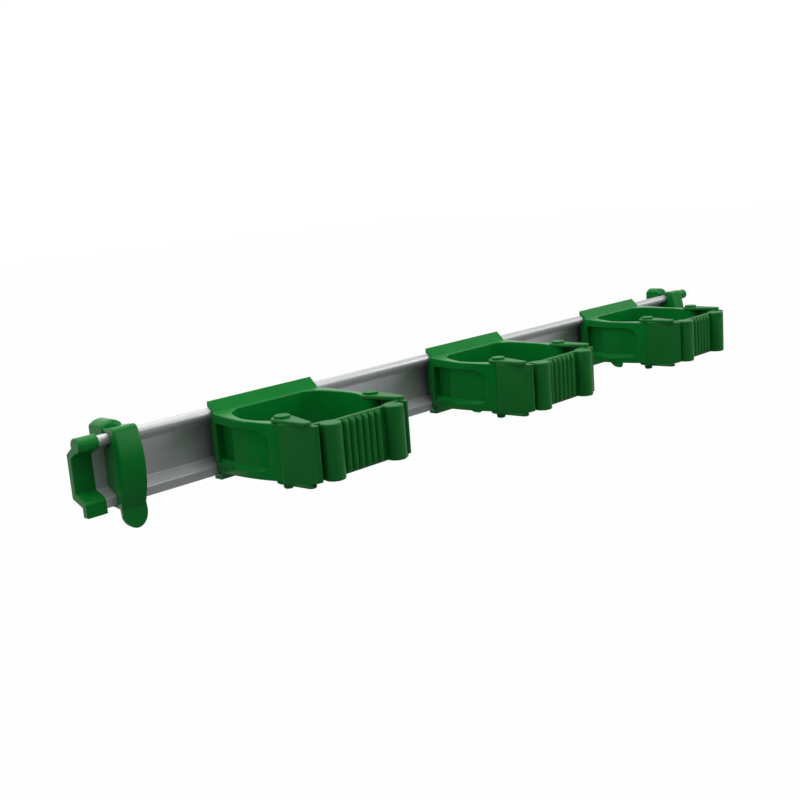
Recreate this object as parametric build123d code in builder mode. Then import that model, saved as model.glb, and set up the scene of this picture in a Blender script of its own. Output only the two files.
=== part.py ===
# Wall rail with sliding tool holders: an aluminium channel clipped into two wall brackets,
# with spring-jaw handle holders that slide along it.
# X runs along the rail, the front faces -Y, the wall is the plane Y = 0 and Z is up.
# The origin lies on the wall, midway between the two bracket screws. All sizes are in millimetres.
import os
from math import atan2, degrees, sqrt

from build123d import *

os.makedirs("parts", exist_ok=True)

# The whole rail
overall_length = 535.0
holder_count = 3
end_space = 107.5  # from each end to the middle of the outermost holder

# Gaps between pieces
run_clear = 0.3  # between pieces that move past each other
seat_fit = 0.05  # a cap on the rail
pin_run = 0.06  # a pivot pin in the ear that turns on it
pin_seat = 0.02  # a pivot pin in the arm that holds it

# Aluminium rail: back web, top flange with a round bead, sloping floor and front lip
rail_height = 34.0
rail_wall = 1.6
rail_off_wall = 8.3
bead_d = 5.2
bead_forward = 7.4
flange_drop = 5.2
lip_forward = 9.5
lip_height = 4.45
floor_drop = 3.1
rail_corner = 0.5

# End caps
cap_length = 10.3
cap_wall = 1.0
cap_end = 1.6
cap_edge = 0.4
cap_foot = 1.9

# Wall brackets
bracket_width = 11.0
bracket_inset = 22.4
shoulder_rise = 4.4
shoulder_arch = 2.0
shoulder_front_r = 2.6
shoulder_back_r = 1.2
nose_forward = 3.2
nose_height = 5.5
shelf_thickness = 1.6
shelf_gap = 0.8
screw_hole_d = 4.8
screw_head_d = 8.4
screw_head_depth = 3.2
core_depth = 5.0
core_wall = 1.9
core_margin = 2.2

# Latch straps, hinged over the bead
strap_width = 13.0
strap_taper = 1.6  # narrower on each side at the back
hinge_r = 0.6
hinge_lift = 0.3
strap_rise = 2.8
strap_proud = 3.7
strap_bulge = 4.0
strap_round = 2.6
strap_drop = 1.7
hook_gap = 0.6
hook_reach = 1.8
tongue_length = 9.7
tongue_thickness = 2.4
tongue_lean = 1.5
tongue_straight = 1.8
strap_core_wall = 2.4
strap_core_height = 12.0
strap_edge = 0.8

# Holder body: hood, back wall, arms
hood_width = 68.0
hood_rise = 3.1
hood_shelf = 1.4
hood_back = 0.5
groove_clear = 0.25
grip_depth = 0.3
hook_width = 40.0
hook_wall = 1.4
hook_drop = 0.2
back_wall = 3.35
arm_drop = 3.0
arm_height = 27.5
arm_rise = 1.0
arm_rise_length = 21.0
arm_sag = 0.9
arm_bow = 3.0
arm_step = 0.4
arm_wall = 2.0
toe_height = 2.3
toe_slope = 4.2
foot_thickness = 1.75
foot_reach = 2.6
foot_depth = 5.4
foot_flare = 2.6
rim_edge = 0.6

# Cavity that the tool handle stands in
arm_thickness = 3.4  # at the middle of the arm
cavity_corner_in = 2.1
cavity_corner_spread = 11.1
cavity_corner_depth = 12.0
elbow_out = 0.64  # share of the corner's spread and depth at its elbow
elbow_down = 0.36
cavity_waist_in = 3.0
cavity_waist_back = 7.9

# Recess in the outside of each arm
pocket_depth = 1.4
pocket_rear_depth = 4.0
pocket_top_flange = 4.0
pocket_bottom_flange = 4.3
pocket_bottom_rear = 2.4
pocket_front = 3.6
pocket_top_r = 9.0
pocket_bottom_r = 7.5
pocket_back_r = 1.0
pocket_step = 13.0
pocket_ledge = 2.3
pocket_slope = 3.3
pocket_foot = 2.6
pocket_lip = 0.2

# Release tab under the middle of each holder
tab_width = 13.0
tab_thickness = 1.8
tab_top = 6.9
tab_drop = 7.6
tab_lean = 3.6

# Pivots and jaws
pivot_in = 5.0
pivot_reach = 44.1
boss_r = 5.2
ear_r = 5.4
ear_thickness = 1.7
lower_ear_thickness = 1.2
ear_tip_r = 2.4
ear_tip_forward = 18.2
ear_tip_out = 1.6
ear_edge = 0.6
panel_thickness = 2.6
panel_back_out = 4.7
panel_back_forward = 3.9
panel_front_out = 0.2
panel_front_forward = 23.1
panel_foot_rise = 1.8
roll_d = 10.4
roll_in = 8.5
roll_forward = 23.4
roll_top_rise = 0.3
roll_bottom_rise = 0.9
roll_edge = 0.8
link_thickness = 2.4
link_behind_lip = 4.5
link_behind_roll = 3.9

# Pivot pins
pin_d = 5.0
pin_head_d = 7.7
pin_head_height = 1.1
pin_head_edge = 0.4
pin_tail = 2.9
pin_tail_chamfer = 0.6

# Ribbed web between the two rolls, in two halves that fold at the middle
web_thickness = 2.2
web_front_back = 1.2
web_top_drop = 0.1
rib_count = 6
rib_r = 1.7
rib_margin = 2.5
rib_top_drop = 1.8

# Places worked out from the sizes above
rail_top = rail_height / 2
rail_bottom = -rail_height / 2
rail_length = overall_length - 2 * cap_end
holder_pitch = (overall_length - 2 * end_space) / max(holder_count - 1, 1)
web_back = -rail_off_wall
web_front = web_back - rail_wall
bead_r = bead_d / 2
bead_y = web_back - bead_forward
bead_z = rail_top - bead_r
bead_front = bead_y - bead_r
lip_front = web_back - lip_forward
lip_back = lip_front + rail_wall
lip_top = rail_bottom + lip_height
floor_slope = floor_drop / (web_front - lip_front)
floor_wall = rail_wall * sqrt(1 + floor_slope**2)
flange_slope = flange_drop / bead_forward
flange_wall = rail_wall * sqrt(1 + flange_slope**2)

bracket_x = overall_length / 2 - bracket_inset
nose_y = web_back - nose_forward
hinge_y = nose_y - run_clear - hinge_r
hinge_z = rail_top + hinge_lift + hinge_r

hood_half = hood_width / 2
groove_r = bead_r + groove_clear
hood_y = bead_y + hood_back
hood_top = rail_top + hood_rise
cavity_y = bead_front - groove_clear - back_wall
arm_top = rail_top - arm_drop
arm_bottom = arm_top - arm_height
roof_front = cavity_y + hood_shelf
rear_top = arm_top + arm_rise
rear_bottom = arm_bottom - arm_sag
pivot_x = hood_half - pivot_in
pivot_y = cavity_y - pivot_reach
clevis_r = boss_r + run_clear
ear_bottom = arm_top + run_clear
ear_top = ear_bottom + ear_thickness
low_ear_top = arm_bottom - run_clear
low_ear_bottom = low_ear_top - lower_ear_thickness
roll_x = pivot_x - roll_in
roll_y = pivot_y - roll_forward
roll_r = roll_d / 2
roll_top = arm_top + roll_top_rise
roll_bottom = arm_bottom + roll_bottom_rise
pocket_step_y = cavity_y - pocket_step


def floor_top(y):
    """Height of the rail floor's upper face at a depth y."""
    return lip_top + floor_slope * (y - lip_front)


def flange_top(y):
    """Height of the rail's top flange at a depth y."""
    return bead_z - flange_slope * (y - bead_y)


def rail_section(grow=0):
    """The rail's section with Y across and Z up, grown outwards for the end cap."""
    with BuildSketch() as section:
        with BuildLine():
            Polyline(
                (bead_y, bead_z),
                (web_back, flange_top(web_back)),
                (web_back, floor_top(web_back) - floor_wall),
                (lip_back, floor_top(lip_back) - floor_wall),
                (lip_back, rail_bottom),
                (lip_front, rail_bottom),
                (lip_front, lip_top),
                (web_front, floor_top(web_front)),
                (web_front, flange_top(web_front) - flange_wall),
                (bead_y, bead_z - flange_wall),
                close=True,
            )
        make_face()
        fillet(section.vertices(), radius=rail_corner)
        with Locations((bead_y, bead_z)):
            Circle(bead_r)
        if grow > 0:
            offset(amount=grow, kind=Kind.ARC)
    return section.sketch


def hull_plan(*circles):
    """The convex outline round some circles, each given as x, y and radius."""
    with BuildSketch() as plan:
        for x, y, r in circles:
            with Locations((x, y)):
                Circle(r)
        make_hull()
    return plan.sketch


def keep(piece, name):
    """Names a finished piece and writes it out."""
    piece.label = name
    export_step(piece, f"parts/{name}.step")


# Rail
with BuildPart() as rail:
    with BuildSketch(Plane.YZ.offset(-rail_length / 2)):
        add(rail_section())
    extrude(amount=rail_length)
keep(rail.part, "rail")

# End cap: a sleeve round the rail's section with a closed end
with BuildPart() as end_cap:
    with BuildSketch(Plane.YZ.offset(-overall_length / 2)):
        add(rail_section(seat_fit + cap_wall))
        with Locations(((lip_front + lip_back) / 2, rail_bottom)):
            Rectangle(rail_wall + 2 * (seat_fit + cap_wall), cap_foot, align=(Align.CENTER, Align.MAX))
    extrude(amount=cap_length)
    fillet(end_cap.faces().sort_by(Axis.X)[0].edges(), radius=cap_edge)
    with BuildSketch(Plane.YZ.offset(-rail_length / 2)):
        add(rail_section(seat_fit))
    extrude(amount=cap_length, mode=Mode.SUBTRACT)
keep(end_cap.part, "left_end_cap")
keep(mirror(end_cap.part, about=Plane.YZ), "right_end_cap")

# Wall bracket: a block on the wall with a shelf under the rail's floor and a round shoulder on top
shelf_front = lip_back + shelf_gap
bracket_bottom = rail_bottom - shelf_thickness
arch_top = rail_top + shoulder_rise
arch_foot = arch_top - shoulder_arch
bracket_left = bracket_x - bracket_width / 2
bracket_right = bracket_x + bracket_width / 2
dip_z = hinge_z + hinge_r
core_width = bracket_width - 2 * core_wall
with BuildPart() as wall_bracket:
    with BuildSketch(Plane.YZ.offset(bracket_left)):
        with BuildLine():
            Polyline(
                (0, arch_top),
                (nose_y, arch_top),
                (nose_y, dip_z - nose_height),
                (web_back, dip_z - nose_height - nose_forward),
                (web_back, floor_top(web_back) - floor_wall),
                (shelf_front, floor_top(shelf_front) - floor_wall),
                (shelf_front, bracket_bottom),
                (0, bracket_bottom),
                close=True,
            )
        make_face()
    extrude(amount=bracket_width)
    with BuildSketch(Plane.XZ):
        with BuildLine():
            Polyline(
                (bracket_left, arch_foot),
                (bracket_left, bracket_bottom),
                (bracket_right, bracket_bottom),
                (bracket_right, arch_foot),
            )
            ThreePointArc((bracket_left, arch_foot), (bracket_x, arch_top), (bracket_right, arch_foot))
        make_face()
    extrude(amount=pivot_reach, mode=Mode.INTERSECT)
    fillet(wall_bracket.edges().filter_by(GeomType.CIRCLE).sort_by(Axis.Y)[0], radius=shoulder_front_r)
    fillet(wall_bracket.edges().filter_by(GeomType.CIRCLE).sort_by(Axis.Y)[-1], radius=shoulder_back_r)
    with Locations(Plane((bracket_x, web_back, 0), x_dir=(1, 0, 0), z_dir=(0, -1, 0))):
        CounterBoreHole(screw_hole_d / 2, screw_head_d / 2, screw_head_depth, depth=rail_off_wall)
    core_low = screw_head_d / 2 + core_margin
    with BuildSketch(Plane.XZ):
        with Locations((bracket_x, core_low)):
            Rectangle(core_width, rail_top - core_low, align=(Align.CENTER, Align.MIN))
        with Locations((bracket_x, -core_low)):
            Rectangle(core_width, -bracket_bottom - core_margin - core_low, align=(Align.CENTER, Align.MAX))
    extrude(amount=core_depth, mode=Mode.SUBTRACT)
keep(wall_bracket.part, "right_wall_bracket")
keep(mirror(wall_bracket.part, about=Plane.YZ), "left_wall_bracket")

# Latch strap: hinged over the bead, closed over the front of the rail, with a pull tongue below
strap_top = rail_top + strap_rise
strap_front = bead_front - strap_proud
strap_bottom = rail_bottom - strap_drop
hook_top = rail_bottom - hook_gap
tongue_half = strap_width / 2
tongue_end = strap_bottom - tongue_length
tongue_round_z = strap_bottom - tongue_straight
arc_web_y = web_front - run_clear
arc_bead_y = bead_front - run_clear
under_gap = run_clear * flange_wall / rail_wall
bead_swing = sqrt((bead_y - hinge_y) ** 2 + (bead_z - hinge_z) ** 2) + bead_r + run_clear
flange_swing = hinge_z - (flange_top(hinge_y) - flange_wall - under_gap)
swing_r = max(bead_swing, flange_swing)


def swing_z(y):
    """Height, under the bead, of the arc that clears the rail when the strap swings open."""
    return hinge_z - sqrt(swing_r**2 - (y - hinge_y) ** 2)


arc_mid_y = (hinge_y + arc_bead_y) / 2
with BuildPart() as latch_strap:
    with BuildSketch(Plane.YZ.offset(bracket_x - tongue_half)) as strap_side:
        with BuildLine():
            Line((hinge_y, dip_z), (strap_front, strap_top))
            ThreePointArc(
                (strap_front, strap_top),
                (strap_front - strap_bulge, 0),
                (strap_front, strap_bottom),
            )
            Polyline(
                (strap_front, strap_bottom),
                (strap_front - tongue_lean, tongue_end),
                (strap_front - tongue_lean + tongue_thickness, tongue_end),
                (strap_front + tongue_thickness, strap_bottom),
                (lip_front + hook_reach, strap_bottom),
                (lip_front + hook_reach, hook_top),
                (lip_front - run_clear, hook_top),
                (lip_front - run_clear, lip_top + run_clear),
                (arc_web_y, floor_top(arc_web_y) + run_clear),
                (arc_web_y, flange_top(arc_web_y) - flange_wall - under_gap),
                (hinge_y, hinge_z - swing_r),
            )
            ThreePointArc(
                (hinge_y, hinge_z - swing_r),
                (arc_mid_y, swing_z(arc_mid_y)),
                (arc_bead_y, swing_z(arc_bead_y)),
            )
            Polyline(
                (arc_bead_y, swing_z(arc_bead_y)),
                (arc_bead_y, hinge_z - hinge_r),
                (hinge_y, hinge_z - hinge_r),
            )
            ThreePointArc((hinge_y, hinge_z - hinge_r), (hinge_y + hinge_r, hinge_z), (hinge_y, dip_z))
        make_face()
        fillet(strap_side.vertices().sort_by(Axis.Y)[-1], radius=strap_round)
    extrude(amount=strap_width)
    with BuildSketch(Plane.XZ):
        with Locations((bracket_x, tongue_round_z)):
            Rectangle(strap_width, strap_top - tongue_round_z, align=(Align.CENTER, Align.MIN))
            Ellipse(tongue_half, tongue_round_z - tongue_end)
    extrude(amount=pivot_reach, mode=Mode.INTERSECT)
    bulge_arcs = latch_strap.edges().filter_by(GeomType.CIRCLE).group_by(Axis.Y)[0]
    fillet(bulge_arcs, radius=strap_edge)
    back_half_width = tongue_half - strap_taper
    with BuildSketch(Plane.XY.offset(tongue_end)):
        with BuildLine():
            Polyline(
                (bracket_x - back_half_width, web_front),
                (bracket_x + back_half_width, web_front),
                (bracket_x + tongue_half, strap_front),
                (bracket_x + tongue_half, cavity_y - strap_width),
                (bracket_x - tongue_half, cavity_y - strap_width),
                (bracket_x - tongue_half, strap_front),
                close=True,
            )
        make_face()
    extrude(amount=strap_top - tongue_end, mode=Mode.INTERSECT)
    core_front = strap_front - strap_bulge + strap_core_wall
    with BuildSketch(Plane.XY.offset(-strap_core_height / 2)):
        with Locations((bracket_x, core_front)):
            Rectangle(2 * (back_half_width - core_wall), -core_front, align=(Align.CENTER, Align.MIN))
    extrude(amount=strap_core_height, mode=Mode.SUBTRACT)
keep(latch_strap.part, "right_latch_strap")
keep(mirror(latch_strap.part, about=Plane.YZ), "left_latch_strap")

# Holder body, made at the middle of the rail
arm_start = lip_front - run_clear
arm_middle = (arm_start + pivot_y) / 2
start_x = hood_half + arm_step
middle_x = hood_half + arm_bow
end_x = pivot_x + boss_r
cavity_half = hood_half + arm_bow - arm_thickness
corner_half = cavity_half - cavity_corner_in
back_half = corner_half - cavity_corner_spread
waist_half = cavity_half - cavity_waist_in
corner_y = cavity_y - cavity_corner_depth
waist_y = pivot_y + cavity_waist_back
channel_back = bead_y - grip_depth
foot_bottom = rail_bottom - run_clear - foot_thickness
foot_back = lip_front + foot_reach
foot_front = foot_back - foot_depth
toe_top = lip_top + toe_height


def arm_outline(inset=0):
    """The plan of the two arms with the space between them filled."""
    with BuildSketch() as plan:
        with BuildLine():
            ThreePointArc((start_x, arm_start), (middle_x, arm_middle), (end_x, pivot_y))
            Line((end_x, pivot_y), (0, pivot_y))
            Line((0, arm_start), (start_x, arm_start))
            mirror(about=Plane.YZ)
        make_face()
        if inset > 0:
            offset(amount=-inset, kind=Kind.ARC)
    return plan.sketch


def arm_side(y):
    """Half the width over the two arms at a depth y, close to their bowed outline."""
    share = (y - arm_middle) / (arm_start - arm_middle)
    lean = (start_x - end_x) / 2
    return middle_x + lean * share + ((start_x + end_x) / 2 - middle_x) * share**2


def cavity_plan(grow=0):
    """The plan of the space for the tool handle, open to the front."""
    front_y = pivot_y - boss_r
    elbow_x = back_half + elbow_out * cavity_corner_spread
    elbow_y = cavity_y - elbow_down * cavity_corner_depth
    belly_y = (corner_y + waist_y) / 2
    with BuildSketch() as plan:
        with BuildLine():
            Line((0, cavity_y), (back_half, cavity_y))
            ThreePointArc((back_half, cavity_y), (elbow_x, elbow_y), (corner_half, corner_y))
            ThreePointArc((corner_half, corner_y), (cavity_half, belly_y), (waist_half, waist_y))
            Line((waist_half, waist_y), (pivot_x, front_y))
            Line((pivot_x, front_y), (0, front_y))
            mirror(about=Plane.YZ)
        make_face()
        if grow > 0:
            offset(amount=grow, kind=Kind.ARC)
    return plan.sketch


with BuildPart() as pocket_tool:
    pocket_low = rear_bottom + pocket_bottom_rear
    pocket_high = arm_top - pocket_top_flange
    pocket_y0 = pivot_y + pocket_front
    with BuildSketch(Plane.YZ) as pocket_side:
        with BuildLine():
            Polyline(
                (cavity_y, pocket_low),
                (cavity_y, pocket_high),
                (pocket_y0, pocket_high),
                (pocket_y0, arm_bottom + pocket_bottom_flange),
                close=True,
            )
        make_face()
        fillet(pocket_side.vertices().group_by(Axis.X)[0].sort_by(Axis.Y)[-1], radius=pocket_top_r)
        fillet(pocket_side.vertices().group_by(Axis.X)[0].sort_by(Axis.Y)[0], radius=pocket_bottom_r)
        fillet(pocket_side.vertices().group_by(Axis.X)[-1], radius=pocket_back_r)
    extrude(amount=hood_width, both=True)
    with BuildSketch(Plane.XY.offset(pocket_low)):
        add(cavity_plan(arm_wall))
        add(arm_outline(pocket_rear_depth))
    extrude(amount=pocket_high - pocket_low, mode=Mode.SUBTRACT)
    with BuildSketch(Plane.XY.offset(pocket_low)):
        add(arm_outline(pocket_depth))
        with Locations((0, pocket_step_y)):
            Rectangle(2 * hood_width, 2 * pivot_reach, align=(Align.CENTER, Align.MAX), mode=Mode.INTERSECT)
    extrude(amount=pocket_high - pocket_low, mode=Mode.SUBTRACT)
    with BuildSketch(Plane.YZ):
        with Locations((pocket_step_y, pocket_low)):
            Rectangle(pocket_step, pocket_ledge, align=(Align.MIN, Align.MIN))
    extrude(amount=hood_width, both=True, mode=Mode.SUBTRACT)
    foot_z = (pocket_low + arm_bottom + pocket_bottom_flange) / 2
    foot_angle = degrees(atan2(pocket_depth - pocket_lip, pocket_foot))
    with BuildSketch(Plane.XY.offset(pocket_low)):
        add(arm_outline(pocket_lip))
    extrude(amount=foot_z - pocket_low, mode=Mode.SUBTRACT)
    with BuildSketch(Plane.XY.offset(foot_z)):
        add(arm_outline(pocket_lip))
    extrude(amount=pocket_foot, taper=foot_angle, mode=Mode.SUBTRACT)
    slope_front_x = arm_side(pocket_y0) - pocket_lip
    slope_back_x = arm_side(pocket_y0) - pocket_depth
    with BuildSketch(Plane.XY.offset(pocket_low)):
        with BuildLine():
            Polyline(
                (slope_front_x, pocket_y0),
                (slope_back_x, pocket_y0 + pocket_slope),
                (-slope_back_x, pocket_y0 + pocket_slope),
                (-slope_front_x, pocket_y0),
                close=True,
            )
        make_face()
    extrude(amount=pocket_high - pocket_low, mode=Mode.SUBTRACT)

tab_hinge_z = arm_bottom + tab_top
tab_hinge_y = cavity_y + tab_thickness / 2 - run_clear
with BuildPart() as body:
    with BuildSketch(Plane.XY.offset(rear_bottom)):
        add(arm_outline())
    extrude(amount=rear_top - rear_bottom)
    with BuildSketch(Plane.YZ):
        with BuildLine():
            Polyline(
                (arm_start, rear_top),
                (roof_front, rear_top),
                (roof_front - arm_rise_length, arm_top),
                (pivot_y, arm_top),
                (pivot_y, arm_bottom),
                (arm_start, rear_bottom),
                close=True,
            )
        make_face()
    extrude(amount=hood_width, both=True, mode=Mode.INTERSECT)
    with BuildSketch(Plane.YZ):
        with BuildLine():
            Polyline(
                (hood_y, hood_top),
                (roof_front, rear_top),
                (foot_front - foot_flare, arm_top),
                (foot_front - foot_flare, rear_bottom),
                (foot_front, foot_bottom),
                (foot_back, foot_bottom),
                (foot_back, rail_bottom - run_clear),
                (lip_front - run_clear, rail_bottom - run_clear),
                (lip_front - run_clear, toe_top),
                (channel_back, toe_top + toe_slope),
                (channel_back, bead_z),
                (hood_y, bead_z),
                close=True,
            )
        make_face()
    extrude(amount=hood_half, both=True)
    with BuildSketch(Plane.YZ):
        with BuildLine():
            hook_back = bead_y + groove_r + hook_wall
            Polyline(
                (hood_y, hood_top),
                (hook_back, bead_z + groove_r),
                (hook_back, bead_z + hook_drop),
                (hood_y, bead_z + hook_drop),
                close=True,
            )
        make_face()
    extrude(amount=hook_width / 2, both=True)
    with BuildSketch(Plane.YZ):
        with Locations((bead_y, bead_z)):
            Circle(groove_r)
    extrude(amount=hood_width, both=True, mode=Mode.SUBTRACT)
    with BuildSketch(Plane.XY.offset(foot_bottom)):
        add(cavity_plan())
    extrude(amount=hood_top - foot_bottom, mode=Mode.SUBTRACT)
    rim = body.edges().filter_by(lambda edge: edge.bounding_box().min.Z > arm_top - pin_seat)
    rim = rim.filter_by(lambda edge: edge.bounding_box().max.Y < roof_front + pin_seat)
    back_rim = rim.filter_by(lambda edge: abs(edge.center().Y - cavity_y) < pin_seat)
    fillet(rim.filter_by(Axis.X, reverse=True) + back_rim, radius=rim_edge)
    with BuildSketch(Plane.XY.offset(arm_bottom)):
        with Locations((pivot_x, pivot_y), (-pivot_x, pivot_y)):
            Circle(boss_r)
    extrude(amount=arm_height)
    with BuildSketch(Plane.XY.offset(arm_bottom)):
        with Locations((pivot_x, pivot_y), (-pivot_x, pivot_y)):
            Circle(pin_d / 2 + pin_seat)
    extrude(amount=arm_height, mode=Mode.SUBTRACT)
    add(pocket_tool.part, mode=Mode.SUBTRACT)
    window_top = tab_hinge_z + tab_thickness / 2 + run_clear
    with BuildSketch(Plane.XY.offset(foot_bottom)):
        with Locations((0, foot_back)):
            Rectangle(tab_width + 2 * run_clear, pivot_reach, align=(Align.CENTER, Align.MAX))
    extrude(amount=window_top - foot_bottom, mode=Mode.SUBTRACT)

# Release tab: hangs in a window in the back wall, with a foot under the rail's lip
tab_low = foot_bottom - (tab_drop - foot_thickness)
tab_front = tab_hinge_y - tab_thickness / 2
tab_back = tab_hinge_y + tab_thickness / 2
tab_round = tab_width / 2
with BuildPart() as release_tab:
    with BuildSketch(Plane.YZ.offset(-tab_width / 2)):
        with BuildLine():
            Polyline(
                (tab_back, tab_hinge_z),
                (tab_back, rail_bottom - run_clear),
                (foot_back, rail_bottom - run_clear),
                (foot_back, foot_bottom),
                (tab_back, foot_bottom),
                (tab_back - tab_lean, tab_low),
                (tab_front - tab_lean, tab_low),
                (tab_front, foot_bottom),
                (tab_front, tab_hinge_z),
            )
            ThreePointArc(
                (tab_front, tab_hinge_z),
                (tab_hinge_y, tab_hinge_z + tab_thickness / 2),
                (tab_back, tab_hinge_z),
            )
        make_face()
    extrude(amount=tab_width)
    tab_straight = tab_hinge_z + tab_thickness - tab_low - tab_round
    with BuildSketch(Plane.XZ.offset(-hood_y)):
        with Locations((0, tab_low + tab_round)):
            Rectangle(tab_width, tab_straight, align=(Align.CENTER, Align.MIN))
            Circle(tab_round)
    extrude(amount=pivot_reach, mode=Mode.INTERSECT)

# Right jaw: two ears on the pivot pin, an outer panel, and the grip roll
lip_x = pivot_x + panel_front_out
lip_y = pivot_y - panel_front_forward
ear_tip_y = pivot_y - ear_tip_forward
panel_end = lip_y - panel_thickness / 2
with BuildPart() as jaw:
    with BuildSketch(Plane.XY.offset(roll_bottom)):
        with Locations((roll_x, roll_y)):
            Circle(roll_r)
    extrude(amount=roll_top - roll_bottom)
    fillet(jaw.edges(), radius=roll_edge)
    with BuildSketch(Plane.XY.offset(roll_bottom)):
        add(
            hull_plan(
                (lip_x, lip_y + link_behind_lip, link_thickness / 2),
                (roll_x, roll_y + link_behind_roll, link_thickness / 2),
            )
        )
    extrude(amount=roll_top - roll_bottom)
    with BuildSketch(Plane.XY.offset(low_ear_top)):
        add(
            hull_plan(
                (pivot_x + panel_back_out, pivot_y - panel_back_forward, panel_thickness / 2),
                (lip_x, lip_y, panel_thickness / 2),
            )
        )
    extrude(amount=ear_bottom - low_ear_top)
    with BuildSketch(Plane.XY.offset(low_ear_top)):
        with Locations((pivot_x, pivot_y)):
            Circle(clevis_r)
    extrude(amount=ear_bottom - low_ear_top, mode=Mode.SUBTRACT)
    with BuildSketch(Plane.YZ.offset(lip_x - panel_thickness)):
        with BuildLine():
            Polyline(
                (ear_tip_y, low_ear_top),
                (panel_end, low_ear_top),
                (panel_end, low_ear_top + panel_foot_rise),
                close=True,
            )
        make_face()
    extrude(amount=2 * panel_thickness, mode=Mode.SUBTRACT)
    for ear_base, ear_height in ((low_ear_bottom, lower_ear_thickness), (ear_bottom, ear_thickness)):
        with BuildSketch(Plane.XY.offset(ear_base)):
            add(
                hull_plan(
                    (pivot_x, pivot_y, ear_r),
                    (pivot_x + ear_tip_out, ear_tip_y, ear_tip_r),
                )
            )
        extrude(amount=ear_height)
    with BuildSketch(Plane.XY.offset(low_ear_bottom)):
        with Locations((pivot_x, pivot_y)):
            Circle(pin_d / 2 + pin_run)
    extrude(amount=ear_top - low_ear_bottom, mode=Mode.SUBTRACT)
    top_face = jaw.faces().filter_by(Axis.Z).sort_by(Axis.Z)[-1]
    low_face = jaw.faces().filter_by(Axis.Z).sort_by(Axis.Z)[0]
    fillet(top_face.outer_wire().edges() + low_face.outer_wire().edges(), radius=ear_edge)

# Right half of the ribbed web
web_front_y = roll_y + web_front_back
web_end = roll_x - roll_r - run_clear
web_top = roll_top - web_top_drop
rib_pitch = 2 * (web_end - rib_margin) / rib_count
with BuildPart() as web:
    with BuildSketch(Plane.XY.offset(roll_bottom)):
        with Locations((run_clear / 2, web_front_y)):
            Rectangle(web_end - run_clear / 2, web_thickness, align=(Align.MIN, Align.MIN))
    extrude(amount=web_top - roll_bottom)
    with BuildSketch(Plane.XY.offset(roll_bottom)):
        rib_places = [((n + 0.5) * rib_pitch, web_front_y) for n in range(rib_count // 2)]
        with Locations(*rib_places):
            Circle(rib_r)
    extrude(amount=web_top - rib_top_drop - roll_bottom)

# Right pivot pin
with BuildPart() as pin:
    with BuildSketch(Plane.XY.offset(low_ear_bottom - pin_tail)):
        with Locations((pivot_x, pivot_y)):
            Circle(pin_d / 2)
    extrude(amount=ear_top + pin_run - low_ear_bottom + pin_tail)
    chamfer(pin.edges().sort_by(Axis.Z)[0], length=pin_tail_chamfer)
    with BuildSketch(Plane.XY.offset(ear_top + pin_run)):
        with Locations((pivot_x, pivot_y)):
            Circle(pin_head_d / 2)
    extrude(amount=pin_head_height)
    fillet(pin.edges().sort_by(Axis.Z)[-1], radius=pin_head_edge)

# The holders, one after another along the rail
for index in range(holder_count):
    along = Location(((index - (holder_count - 1) / 2) * holder_pitch, 0, 0))
    holder = f"holder_{index + 1}"
    keep(body.part.moved(along), f"{holder}_body")
    keep(release_tab.part.moved(along), f"{holder}_release_tab")
    for right_piece, piece_name in ((jaw, "jaw"), (web, "web"), (pin, "pivot_pin")):
        keep(right_piece.part.moved(along), f"{holder}_right_{piece_name}")
        keep(mirror(right_piece.part, about=Plane.YZ).moved(along), f"{holder}_left_{piece_name}")
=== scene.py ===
# Tool holder rail: finishes for the imported parts, ribbed grip bands, studio light and camera.
import math

import bmesh
import bpy
from mathutils import Matrix, Vector


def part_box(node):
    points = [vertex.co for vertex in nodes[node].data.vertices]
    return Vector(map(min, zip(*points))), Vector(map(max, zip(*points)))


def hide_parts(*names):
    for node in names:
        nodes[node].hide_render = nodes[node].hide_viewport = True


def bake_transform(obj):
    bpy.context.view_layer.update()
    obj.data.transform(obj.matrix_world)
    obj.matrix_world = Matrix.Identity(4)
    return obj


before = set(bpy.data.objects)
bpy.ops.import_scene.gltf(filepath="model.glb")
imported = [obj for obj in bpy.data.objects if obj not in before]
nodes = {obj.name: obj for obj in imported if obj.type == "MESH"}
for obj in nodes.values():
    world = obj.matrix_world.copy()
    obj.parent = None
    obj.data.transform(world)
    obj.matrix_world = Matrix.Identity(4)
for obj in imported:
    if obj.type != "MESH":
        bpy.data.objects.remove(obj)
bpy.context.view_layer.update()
scene = bpy.context.scene
scene.view_settings.view_transform = "Standard"
mm = 0.001
print("frame:", len(nodes), "parts loaded")


# Small helpers for node trees

def addNode(tree, kind, settings=None, inputs=None):
    node = tree.nodes.new(kind)
    for key, value in (settings or {}).items():
        setattr(node, key, value)
    for key, value in (inputs or {}).items():
        if isinstance(value, bpy.types.NodeSocket):
            tree.links.new(value, node.inputs[key])
        else:
            node.inputs[key].default_value = value
    return node


mixSockets = {"factor": 0, "first": 6, "second": 7, "result": 2}  # a Mix node's colour sockets


def mixColour(tree, factor, first, second):
    inputs = {
        mixSockets["factor"]: factor,
        mixSockets["first"]: first,
        mixSockets["second"]: second,
    }
    mix = addNode(tree, "ShaderNodeMix", {"data_type": "RGBA"}, inputs)
    return mix.outputs[mixSockets["result"]]


def spread(tree, value, fromRange=(0.0, 1.0), toRange=(0.0, 1.0)):
    inputs = {
        "Value": value,
        "From Min": fromRange[0], "From Max": fromRange[1],
        "To Min": toRange[0], "To Max": toRange[1],
    }
    return addNode(tree, "ShaderNodeMapRange", {"clamp": True}, inputs).outputs["Result"]


def combine(tree, operation, first, second):
    inputs = {0: first, 1: second}
    return addNode(tree, "ShaderNodeMath", {"operation": operation}, inputs).outputs[0]


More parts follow.
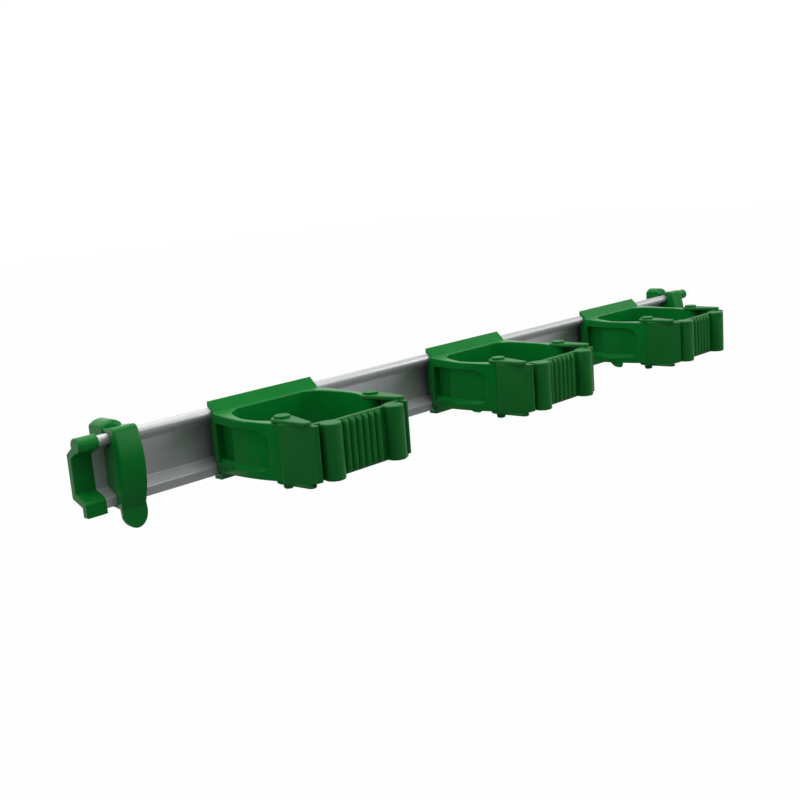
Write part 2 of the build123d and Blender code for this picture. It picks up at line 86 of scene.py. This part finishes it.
def dotProduct(tree, first, second):
    settings = {"operation": "DOT_PRODUCT"}
    inputs = {0: first, 1: second}
    return addNode(tree, "ShaderNodeVectorMath", settings, inputs).outputs["Value"]


def noise(tree, place, scale, detail, **more):
    inputs = {"Vector": place, "Scale": scale, "Detail": detail, **more}
    return addNode(tree, "ShaderNodeTexNoise", None, inputs).outputs["Fac"]


def heightOf(tree, vector):
    return addNode(tree, "ShaderNodeSeparateXYZ", None, {"Vector": vector}).outputs["Z"]


def startGroup(name, inputs, outputs):
    group = bpy.data.node_groups.new(name, "ShaderNodeTree")
    for label, kind, value in inputs:
        socket = group.interface.new_socket(label, in_out="INPUT", socket_type=kind)
        socket.default_value = value
    for label, kind in outputs:
        group.interface.new_socket(label, in_out="OUTPUT", socket_type=kind)
    given = group.nodes.new("NodeGroupInput").outputs
    result = group.nodes.new("NodeGroupOutput").inputs
    return group, given, result


def placeGroup(tree, group, inputs):
    return addNode(tree, "ShaderNodeGroup", {"node_tree": group}, inputs).outputs


def startMaterial(name):
    material = bpy.data.materials.new(name)
    material.use_nodes = True
    return material, material.node_tree, material.node_tree.nodes["Principled BSDF"]


def wireShader(tree, shader, colour, rough, bump):
    tree.links.new(colour, shader.inputs["Base Color"])
    tree.links.new(rough, shader.inputs["Roughness"])
    tree.links.new(bump.outputs["Normal"], shader.inputs["Normal"])


# Edge rub: a softened normal on sharp edges and a mask of where hands and tools touch them
rubShape = {
    "radius": 0.5 * mm, "samples": 6, "edgeFacing": (0.985, 0.82),
    "breakup": 180.0, "detail": 4.0, "patches": (0.38, 0.66), "wear": (0.15, 1.0),
}


def makeEdgeRub():
    group, given, result = startGroup(
        "edgeRub",
        [
            ("Radius", "NodeSocketFloat", rubShape["radius"]),
            ("Breakup", "NodeSocketFloat", rubShape["breakup"]),
        ],
        [("Mask", "NodeSocketFloat"), ("Normal", "NodeSocketVector")],
    )
    bevel = addNode(group, "ShaderNodeBevel", {"samples": rubShape["samples"]},
                    {"Radius": given["Radius"]})
    soft = bevel.outputs["Normal"]
    flat = group.nodes.new("ShaderNodeNewGeometry").outputs["Normal"]
    edge = spread(group, dotProduct(group, soft, flat), rubShape["edgeFacing"])
    place = group.nodes.new("ShaderNodeTexCoord").outputs["Object"]
    patch = noise(group, place, given["Breakup"], rubShape["detail"])
    worn = spread(group, patch, rubShape["patches"], rubShape["wear"])
    group.links.new(combine(group, "MULTIPLY", edge, worn), result["Mask"])
    group.links.new(soft, result["Normal"])
    return group


# Mould skin: fine spark-etched grain, slow colour drift from the melt, and a little dust on top
skinShape = {
    "grainScale": 5000.0, "grainDetail": 3.0, "grainRoughness": 0.6,
    "driftScale": 30.0, "driftDetail": 3.0, "driftTwist": 0.8,
    "speckScale": 900.0, "speckDetail": 5.0, "specks": (0.5, 0.75), "facingUp": (0.55, 1.0),
}


def makeMouldSkin():
    group, given, result = startGroup(
        "mouldSkin",
        [
            ("Grain Scale", "NodeSocketFloat", skinShape["grainScale"]),
            ("Drift Scale", "NodeSocketFloat", skinShape["driftScale"]),
        ],
        [("Grain", "NodeSocketFloat"), ("Drift", "NodeSocketFloat"), ("Dust", "NodeSocketFloat")],
    )
    place = group.nodes.new("ShaderNodeTexCoord").outputs["Object"]
    grain = noise(group, place, given["Grain Scale"], skinShape["grainDetail"],
                  Roughness=skinShape["grainRoughness"])
    drift = noise(group, place, given["Drift Scale"], skinShape["driftDetail"],
                  Distortion=skinShape["driftTwist"])
    specks = noise(group, place, skinShape["speckScale"], skinShape["speckDetail"])
    normal = group.nodes.new("ShaderNodeNewGeometry").outputs["Normal"]
    lying = spread(group, heightOf(group, normal), skinShape["facingUp"])
    thin = spread(group, specks, skinShape["specks"])
    group.links.new(grain, result["Grain"])
    group.links.new(drift, result["Drift"])
    group.links.new(combine(group, "MULTIPLY", lying, thin), result["Dust"])
    return group


edgeRub = makeEdgeRub()
mouldSkin = makeMouldSkin()

# Holder bodies, brackets, straps and caps: satin plastic
bodyLook = {
    "colour": (0.0022, 0.184, 0.0238, 1), "deep": (0.0016, 0.161, 0.0202, 1),
    "rubbed": (0.026, 0.235, 0.055, 1), "rubShare": 0.45, "edgeRadius": 0.45 * mm,
    "dust": (0.20, 0.30, 0.21, 1), "dustShare": 0.10,
    "grainScale": 4200.0, "grainDepth": 0.02, "driftScale": 26.0,
    "roughness": (0.17, 0.23), "gloss": 0.16,
}
# Jaws and bands: duller rubber
gripLook = {
    "colour": (0.0070, 0.152, 0.0222, 1), "deep": (0.0055, 0.134, 0.0190, 1),
    "rubbed": (0.040, 0.215, 0.062, 1), "rubShare": 0.40, "edgeRadius": 0.55 * mm,
    "dust": (0.24, 0.33, 0.24, 1), "dustShare": 0.12,
    "grainScale": 3200.0, "grainDepth": 0.05, "driftScale": 34.0,
    "roughness": (0.38, 0.46), "gloss": 0.16,
}
# Pivot pins: the body's plastic, duller, and brighter where the head is rubbed
pinLook = {
    "colour": (0.0040, 0.168, 0.0240, 1), "deep": (0.0030, 0.146, 0.0205, 1),
    "rubbed": (0.036, 0.235, 0.062, 1), "rubShare": 0.50, "edgeRadius": 0.35 * mm,
    "dust": (0.22, 0.32, 0.22, 1), "dustShare": 0.14,
    "grainScale": 4800.0, "grainDepth": 0.02, "driftScale": 60.0,
    "roughness": (0.40, 0.50), "gloss": 0.12,
}
# What all three share: how far the drift is stretched, and the height of the grain
mouldedShape = {"colourDrift": (0.32, 0.68), "roughDrift": (0.3, 0.7), "grainHeight": 0.1 * mm}


def makeMoulded(name, look):
    material, tree, shader = startMaterial(name)
    skin = placeGroup(tree, mouldSkin, {
        "Grain Scale": look["grainScale"], "Drift Scale": look["driftScale"],
    })
    edges = placeGroup(tree, edgeRub, {"Radius": look["edgeRadius"]})
    drift = spread(tree, skin["Drift"], mouldedShape["colourDrift"])
    colour = mixColour(tree, drift, look["deep"], look["colour"])
    rubbed = spread(tree, edges["Mask"], toRange=(0.0, look["rubShare"]))
    colour = mixColour(tree, rubbed, colour, look["rubbed"])
    dusty = spread(tree, skin["Dust"], toRange=(0.0, look["dustShare"]))
    colour = mixColour(tree, dusty, colour, look["dust"])
    rough = spread(tree, skin["Drift"], mouldedShape["roughDrift"], look["roughness"])
    bump = addNode(tree, "ShaderNodeBump", None, {
        "Strength": look["grainDepth"], "Distance": mouldedShape["grainHeight"],
        "Height": skin["Grain"], "Normal": edges["Normal"],
    })
    shader.inputs["Specular IOR Level"].default_value = look["gloss"]
    wireShader(tree, shader, colour, rough, bump)
    return material


# Rail: satin anodised extrusion, with the die's fine lines along its length
railLook = {
    "pale": (0.65, 0.655, 0.665, 1), "dark": (0.605, 0.61, 0.62, 1),
    "rubbed": (0.82, 0.82, 0.83, 1), "rubShare": 0.5, "edgeRadius": 0.3 * mm, "breakup": 90.0,
    "lineScale": (3.0, 2600.0, 2600.0), "broadScale": (1.2, 420.0, 420.0), "lineDetail": 3.0,
    "lines": (0.7, 1.3), "lineDepth": 0.05, "lineHeight": 0.05 * mm,
    "hazeScale": 22.0, "hazeDetail": 4.0, "haze": (0.35, 0.65), "roughness": (0.50, 0.58),
    "metal": 0.75, "edgeTint": (0.45, 0.45, 0.46, 1), "gloss": 0.2,
}


def makeAluminium(name, look):
    material, tree, shader = startMaterial(name)
    place = tree.nodes.new("ShaderNodeTexCoord").outputs["Object"]
    edges = placeGroup(tree, edgeRub, {"Radius": look["edgeRadius"], "Breakup": look["breakup"]})
    drawn = []
    for scale in (look["lineScale"], look["broadScale"]):
        along = addNode(tree, "ShaderNodeMapping", None, {"Vector": place, "Scale": scale})
        drawn.append(noise(tree, along.outputs["Vector"], 1.0, look["lineDetail"]))
    lines = combine(tree, "ADD", *drawn)
    colour = mixColour(tree, spread(tree, lines, look["lines"]), look["dark"], look["pale"])
    rubbed = spread(tree, edges["Mask"], toRange=(0.0, look["rubShare"]))
    colour = mixColour(tree, rubbed, colour, look["rubbed"])
    haze = noise(tree, place, look["hazeScale"], look["hazeDetail"])
    rough = spread(tree, haze, look["haze"], look["roughness"])
    bump = addNode(tree, "ShaderNodeBump", None, {
        "Strength": look["lineDepth"], "Distance": look["lineHeight"],
        "Height": lines, "Normal": edges["Normal"],
    })
    shader.inputs["Metallic"].default_value = look["metal"]
    shader.inputs["Specular Tint"].default_value = look["edgeTint"]
    shader.inputs["Specular IOR Level"].default_value = look["gloss"]
    wireShader(tree, shader, colour, rough, bump)
    return material


bodyPlastic = makeMoulded("bodyPlastic", bodyLook)
gripRubber = makeMoulded("gripRubber", gripLook)
pinPlastic = makeMoulded("pinPlastic", pinLook)
satinAluminium = makeAluminium("satinAluminium", railLook)
for name, part in nodes.items():
    finish = bodyPlastic
    if name == "rail":
        finish = satinAluminium
    elif name.endswith("_jaw"):
        finish = gripRubber
    elif name.endswith("_pivot_pin"):
        finish = pinPlastic
    for place in part.material_slots:
        place.material = finish
print("finishes: given to", len(nodes), "parts")

# Grip bands: the ribbed skin between the two rolls, one half for each jaw
bandShape = {
    "ribs": 3, "margin": 2.5 * mm, "ribHalf": 1.85 * mm, "plate": 2.2 * mm,
    "rootIn": 1.9 * mm,  # how far the skin runs on into the roll
    "rim": 0.35 * mm, "fadeStart": 0.9 * mm, "fadeLength": 2.5 * mm,  # rounded edge, ribs' ends
    "bendStart": 1.8 * mm, "bendEnd": -3.0 * mm,  # measured outwards from the roll's edge
    "columns": 120, "middleSteps": 8,
    "endRows": [0.0, 0.05, 0.17, 0.35, 0.65, 1.1, 1.3, 1.6, 2.0, 2.6, 3.4],  # mm from each edge
}


def bandRows(low, high):
    ends = [step * mm for step in bandShape["endRows"]]
    steps = bandShape["middleSteps"]
    plain = high - low - 2 * ends[-1]
    middle = [ends[-1] + plain * step / steps for step in range(1, steps)]
    return [low + step for step in ends + middle] + [high - step for step in reversed(ends)]


def ribAt(away, pitch):
    if away >= pitch * bandShape["ribs"]:
        return 0.0
    across = (away % pitch - pitch / 2) / bandShape["ribHalf"]
    return math.sqrt(max(1 - across ** 2, 0))


def rimAt(fromEnd):
    inRim = max(bandShape["rim"] - fromEnd, 0)
    return bandShape["rim"] - math.sqrt(max(bandShape["rim"] ** 2 - inRim ** 2, 0))


def fadeAt(fromEnd):
    fade = min(max((fromEnd - bandShape["fadeStart"]) / bandShape["fadeLength"], 0), 1)
    return math.sqrt(1 - (1 - fade) ** 2)


def skinLoops(name, loops):
    mesh = bmesh.new()
    rings = [[mesh.verts.new(point) for point in loop] for loop in loops]
    count = len(rings[0])
    for first, second in zip(rings, rings[1:]):
        for step in range(count):
            after = (step + 1) % count
            corners = (first[step], first[after], second[after], second[step])
            mesh.faces.new(corners).smooth = True
    for end in (rings[0], rings[-1]):
        for edge in mesh.faces.new(end).edges:
            edge.smooth = False
    bmesh.ops.recalc_face_normals(mesh, faces=mesh.faces)
    data = bpy.data.meshes.new(name)
    mesh.to_mesh(data)
    mesh.free()
    return data


def makeBand(holder, side):
    low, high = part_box(f"{holder}_{side}_web")
    sign = 1 if side == "right" else -1
    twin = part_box(f"{holder}_{'left' if side == 'right' else 'right'}_web")
    centre = (min(low.x, twin[0].x) + max(high.x, twin[1].x)) / 2
    reach = abs((high.x if side == "right" else low.x) - centre)
    pitch = (reach - bandShape["margin"]) / bandShape["ribs"]
    frontY = high.y - bandShape["plate"]
    ribHeight = frontY - low.y
    rows = bandRows(low.z, high.z)
    loops = []
    for column in range(bandShape["columns"] + 1):
        away = (reach + bandShape["rootIn"]) * column / bandShape["columns"]
        x = centre + sign * away
        front = []
        back = []
        for z in rows:
            fromEnd = min(z - low.z, high.z - z)
            swell = ribHeight * ribAt(away, pitch) * fadeAt(fromEnd)
            front.append((x, frontY - swell + rimAt(fromEnd), z))
            back.append((x, high.y - rimAt(fromEnd), z))
        loops.append(front + back[::-1])
    data = skinLoops(f"{holder}_{side}_band", loops)
    data.materials.append(gripRubber)
    band = bpy.data.objects.new(f"{holder}_{side}_band", data)
    scene.collection.objects.link(band)
    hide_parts(f"{holder}_{side}_web")
    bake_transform(band)


holders = sorted({name[: name.index("_body")] for name in nodes if name.endswith("_body")})
for holder in holders:
    for side in ("left", "right"):
        makeBand(holder, side)
print("bands:", 2 * len(holders), "halves made")

# Studio: pale floor, white backdrop behind, dimmer room in front, soft lamps
studio = {
    "floorHeight": -0.9, "floorSize": 40.0, "floorColour": (0.34, 0.34, 0.34, 1),
    "floorWhite": 0.985,  # the rest keeps the object's shadow
    "backdropAim": (0.47, 0.86, 0.18), "backdropEdge": (0.0, 0.5), "sweepEdge": (0.8, 1.6),
    "room": (0.25, 0.25, 0.26, 1), "white": (1, 1, 1, 1),
    "sky": (0.52, 0.52, 0.53, 1), "skyEdge": (0.45, 0.8),
}
lamps = {
    "topSoftbox": {
        "place": (-0.1, -0.05, 0.95), "aim": (0, -0.05, 0), "size": (1.5, 0.9), "power": 11.0,
    },
    "leftFill": {
        "place": (-1.25, 0.1, 0.40), "aim": (0, -0.04, 0), "size": (0.7, 0.7), "power": 2.9,
    },
    "rightSoftbox": {
        "place": (0.9, -1.05, 0.40), "aim": (0, -0.04, 0), "size": (0.8, 0.8), "power": 7.0,
    },
}


def makeFloor():
    mesh = bmesh.new()
    half = studio["floorSize"] / 2
    bmesh.ops.create_grid(mesh, x_segments=1, y_segments=1, size=half)
    data = bpy.data.meshes.new("floor")
    mesh.to_mesh(data)
    mesh.free()
    floor = bpy.data.objects.new("floor", data)
    floor.location.z = studio["floorHeight"]
    scene.collection.objects.link(floor)
    data.materials.append(makeFloorMaterial())


def makeFloorMaterial():
    material = bpy.data.materials.new("paleFloor")
    material.use_nodes = True
    tree = material.node_tree
    tree.nodes.clear()
    ray = tree.nodes.new("ShaderNodeLightPath").outputs
    seen = combine(tree, "ADD", ray["Is Camera Ray"], ray["Is Transmission Ray"])
    ground = tree.nodes.new("ShaderNodeNewGeometry").outputs["Position"]
    aim = Vector((*studio["backdropAim"][:2], 0)).normalized()
    sweep = spread(tree, dotProduct(tree, ground, aim), studio["sweepEdge"])
    mirrored = combine(tree, "MULTIPLY", ray["Is Glossy Ray"], sweep)  # metal shows the far sweep
    seen = combine(tree, "ADD", seen, mirrored)
    share = spread(tree, seen, toRange=(0.0, studio["floorWhite"]))
    matt = addNode(tree, "ShaderNodeBsdfDiffuse", None, {"Color": studio["floorColour"]})
    glow = addNode(tree, "ShaderNodeEmission", None, {"Color": studio["white"]})
    both = addNode(tree, "ShaderNodeMixShader", None,
                   {0: share, 1: matt.outputs[0], 2: glow.outputs[0]})
    addNode(tree, "ShaderNodeOutputMaterial", None, {"Surface": both.outputs[0]})
    return material


def makeWorld():
    world = bpy.data.worlds.new("studio")
    world.use_nodes = True
    tree = world.node_tree
    tree.nodes.clear()
    heading = tree.nodes.new("ShaderNodeTexCoord").outputs["Generated"]
    aim = Vector(studio["backdropAim"]).normalized()
    behind = spread(tree, dotProduct(tree, heading, aim), studio["backdropEdge"])
    rising = spread(tree, heightOf(tree, heading), studio["skyEdge"])
    backdrop = mixColour(tree, rising, studio["white"], studio["sky"])
    lit = mixColour(tree, behind, studio["room"], backdrop)
    ray = tree.nodes.new("ShaderNodeLightPath").outputs
    seen = mixColour(tree, ray["Is Camera Ray"], lit, studio["white"])
    light = addNode(tree, "ShaderNodeBackground", None, {"Color": seen})
    addNode(tree, "ShaderNodeOutputWorld", None, {"Surface": light.outputs[0]})
    scene.world = world


def makeLamp(name, lamp):
    light = bpy.data.lights.new(name, "AREA")
    light.shape = "RECTANGLE"
    light.size, light.size_y = lamp["size"]
    light.energy = lamp["power"]
    stand = bpy.data.objects.new(name, light)
    stand.location = lamp["place"]
    heading = Vector(lamp["aim"]) - Vector(lamp["place"])
    stand.rotation_euler = heading.to_track_quat("-Z", "Y").to_euler()
    scene.collection.objects.link(stand)


makeFloor()
makeWorld()
for name, lamp in lamps.items():
    makeLamp(name, lamp)
print("studio: floor, backdrop and", len(lamps), "lamps")

# Camera, where the photograph was taken from
view = {
    "place": (-0.5002, -0.4487, 0.1191), "forward": (0.69928, 0.68675, -0.19847),
    "roll": 4.455, "lens": 48.7, "sensor": 36.0, "clipStart": 10 * mm,
}


def makeCamera():
    forward = Vector(view["forward"]).normalized()
    level = forward.cross(Vector((0, 0, 1))).normalized()
    drop = forward.cross(level)
    roll = math.radians(view["roll"])
    right = math.cos(roll) * level + math.sin(roll) * drop
    up = math.sin(roll) * level - math.cos(roll) * drop
    data = bpy.data.cameras.new("photoCamera")
    data.lens = view["lens"]
    data.sensor_width = view["sensor"]
    data.clip_start = view["clipStart"]
    camera = bpy.data.objects.new("photoCamera", data)
    turn = Matrix((right, up, -forward)).transposed()
    camera.matrix_world = Matrix.Translation(view["place"]) @ turn.to_4x4()
    scene.collection.objects.link(camera)
    scene.camera = camera


makeCamera()
print("camera: placed")
